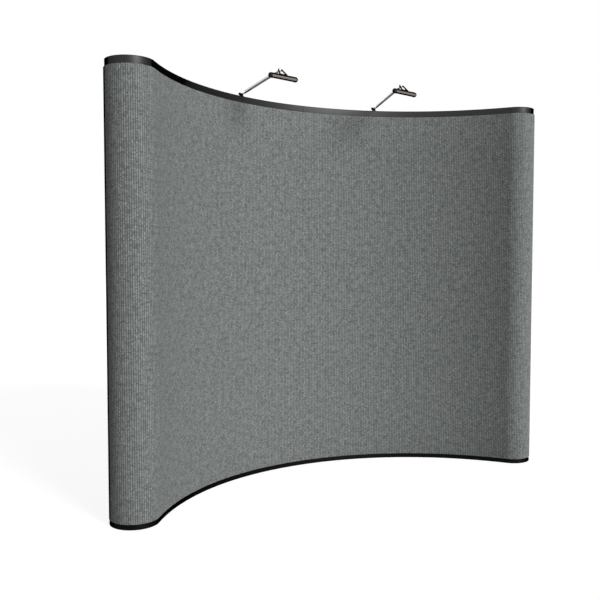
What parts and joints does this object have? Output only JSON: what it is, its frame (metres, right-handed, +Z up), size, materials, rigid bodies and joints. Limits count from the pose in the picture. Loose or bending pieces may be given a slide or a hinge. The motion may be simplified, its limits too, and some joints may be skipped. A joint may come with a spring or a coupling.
{
  "type": "pop up display backwall",
  "caption": "Curved grey fabric pop-up display wall with black edge rails, rounded ends, a lattice frame behind and clamp-on arm lights on the top rail.",
  "frame": {"origin": "centre of the bounding box on the floor, under the feet", "axes": "+X to the right along the wall as seen by the viewer, +Y away from the viewer towards the back of the wall, +Z up; the concave fabric face looks towards -Y"},
  "size_m": [2.7458, 0.884, 2.3295],
  "materials": {
    "grey_fabric": "matte ribbed loop weave",
    "black_rail": "satin black",
    "bar_steel": "satin",
    "frame_tube": "satin",
    "black_plastic": "satin",
    "chrome_arm": "polished",
    "reflector_sheet": "bright",
    "lamp_glass": "clear"
  },
  "bodies": {
    "frame": {"frame_column_1": "frame_tube", "frame_column_2": "frame_tube", "frame_column_3": "frame_tube", "frame_column_4": "frame_tube", "frame_column_5": "frame_tube", "scissor_pair_row1_bay1": "frame_tube", "scissor_pair_row1_bay2": "frame_tube", "scissor_pair_row1_bay3": "frame_tube", "scissor_pair_row1_bay4": "frame_tube", "scissor_pair_row2_bay1": "frame_tube", "scissor_pair_row2_bay2": "frame_tube", "scissor_pair_row2_bay3": "frame_tube", "scissor_pair_row2_bay4": "frame_tube", "scissor_pair_row3_bay1": "frame_tube", "scissor_pair_row3_bay2": "frame_tube", "scissor_pair_row3_bay3": "frame_tube", "scissor_pair_row3_bay4": "frame_tube", "scissor_pair_row4_bay1": "frame_tube", "scissor_pair_row4_bay2": "frame_tube", "scissor_pair_row4_bay3": "frame_tube", "scissor_pair_row4_bay4": "frame_tube", "channel_bar_1": "bar_steel", "rear_channel_bar_left": "bar_steel", "channel_bar_2": "bar_steel", "channel_bar_3": "bar_steel", "channel_bar_4": "bar_steel", "channel_bar_5": "bar_steel", "rear_channel_bar_right": "bar_steel", "top_rail_left": "black_rail", "top_end_rail_left": "black_rail", "bottom_rail_left": "black_rail", "bottom_end_rail_left": "black_rail", "top_rail_right": "black_rail", "top_end_rail_right": "black_rail", "bottom_rail_right": "black_rail", "bottom_end_rail_right": "black_rail", "light_left_clamp": "black_plastic", "light_right_clamp": "black_plastic"},
    "front_panel_1": {"front_panel_1": "grey_fabric"},
    "front_panel_2": {"front_panel_2": "grey_fabric"},
    "front_panel_3": {"front_panel_3": "grey_fabric"},
    "front_panel_4": {"front_panel_4": "grey_fabric"},
    "end_panel_left": {"end_panel_left": "grey_fabric"},
    "end_panel_right": {"end_panel_right": "grey_fabric"},
    "light_left_pad": {"light_left_clamp_pad": "black_plastic"},
    "light_left_screw": {"light_left_clamp_screw": "black_plastic"},
    "light_left_swivel": {"light_left_swivel": "black_plastic"},
    "light_left_arm": {"light_left_arm": "chrome_arm"},
    "light_left_head": {"light_left_yoke": "black_plastic", "light_left_housing": "black_plastic", "light_left_reflector": "reflector_sheet", "light_left_lamp": "lamp_glass"},
    "light_right_pad": {"light_right_clamp_pad": "black_plastic"},
    "light_right_screw": {"light_right_clamp_screw": "black_plastic"},
    "light_right_swivel": {"light_right_swivel": "black_plastic"},
    "light_right_arm": {"light_right_arm": "chrome_arm"},
    "light_right_head": {"light_right_yoke": "black_plastic", "light_right_housing": "black_plastic", "light_right_reflector": "reflector_sheet", "light_right_lamp": "lamp_glass"}
  },
  "joints": [
    {"name": "front_panel_1_peel", "type": "hinge", "parent": "frame", "child": "front_panel_1", "pos_m": [-0.64557, 0.04511, 1.1195], "axis": [0, 0, 1], "range_deg": [0, 50]},
    {"name": "front_panel_2_peel", "type": "hinge", "parent": "frame", "child": "front_panel_2", "pos_m": [-0.0008, 0.20208, 1.1195], "axis": [0, 0, 1], "range_deg": [0, 50]},
    {"name": "front_panel_3_peel", "type": "hinge", "parent": "frame", "child": "front_panel_3", "pos_m": [0.0008, 0.20208, 1.1195], "axis": [0, 0, -1], "range_deg": [0, 50]},
    {"name": "front_panel_4_peel", "type": "hinge", "parent": "frame", "child": "front_panel_4", "pos_m": [0.64557, 0.04511, 1.1195], "axis": [0, 0, -1], "range_deg": [0, 50]},
    {"name": "end_panel_left_pull", "type": "slide", "parent": "frame", "child": "end_panel_left", "axis": [-0.5793, -0.8151, 0], "range_m": [0, 0.2]},
    {"name": "end_panel_right_pull", "type": "slide", "parent": "frame", "child": "end_panel_right", "axis": [0.5793, -0.8151, 0], "range_m": [0, 0.2]},
    {"name": "light_left_pad_slide", "type": "slide", "parent": "frame", "child": "light_left_pad", "axis": [-0.304, 0.9527, 0], "range_m": [0, 0.0055]},
    {"name": "light_left_screw_turn", "type": "hinge", "parent": "light_left_pad", "child": "light_left_screw", "pos_m": [-0.44328, 0.18507, 2.242], "axis": [-0.304, 0.9527, 0], "range_deg": [0, 1440]},
    {"name": "light_left_swivel_turn", "type": "hinge", "parent": "frame", "child": "light_left_swivel", "pos_m": [-0.43842, 0.16982, 2.259], "axis": [0, 0, 1], "range_deg": [-35, 35]},
    {"name": "light_left_arm_tilt", "type": "hinge", "parent": "light_left_swivel", "child": "light_left_arm", "pos_m": [-0.43842, 0.16982, 2.269], "axis": [-0.9959, -0.0906, 0], "range_deg": [-12, 50]},
    {"name": "light_left_head_tilt", "type": "hinge", "parent": "light_left_arm", "child": "light_left_head", "pos_m": [-0.40035, -0.24845, 2.323], "axis": [0.9959, 0.0906, 0], "range_deg": [-30, 60]},
    {"name": "light_right_pad_slide", "type": "slide", "parent": "frame", "child": "light_right_pad", "axis": [0.3387, 0.9409, 0], "range_m": [0, 0.0055]},
    {"name": "light_right_screw_turn", "type": "hinge", "parent": "light_right_pad", "child": "light_right_screw", "pos_m": [0.49388, 0.16789, 2.242], "axis": [0.3387, 0.9409, 0], "range_deg": [0, 1440]},
    {"name": "light_right_swivel_turn", "type": "hinge", "parent": "frame", "child": "light_right_swivel", "pos_m": [0.48846, 0.15283, 2.259], "axis": [0, 0, 1], "range_deg": [-35, 35]},
    {"name": "light_right_arm_tilt", "type": "hinge", "parent": "light_right_swivel", "child": "light_right_arm", "pos_m": [0.48846, 0.15283, 2.269], "axis": [-0.9778, 0.2096, 0], "range_deg": [-12, 50]},
    {"name": "light_right_head_tilt", "type": "hinge", "parent": "light_right_arm", "child": "light_right_head", "pos_m": [0.40042, -0.25783, 2.323], "axis": [0.9778, -0.2096, 0], "range_deg": [-30, 60]}
  ],
  "couplings": [
    {"joint": "light_left_pad_slide", "follows": "light_left_screw_turn", "m_per_rad": 0.00019894},
    {"joint": "light_right_pad_slide", "follows": "light_right_screw_turn", "m_per_rad": 0.00019894}
  ]
}
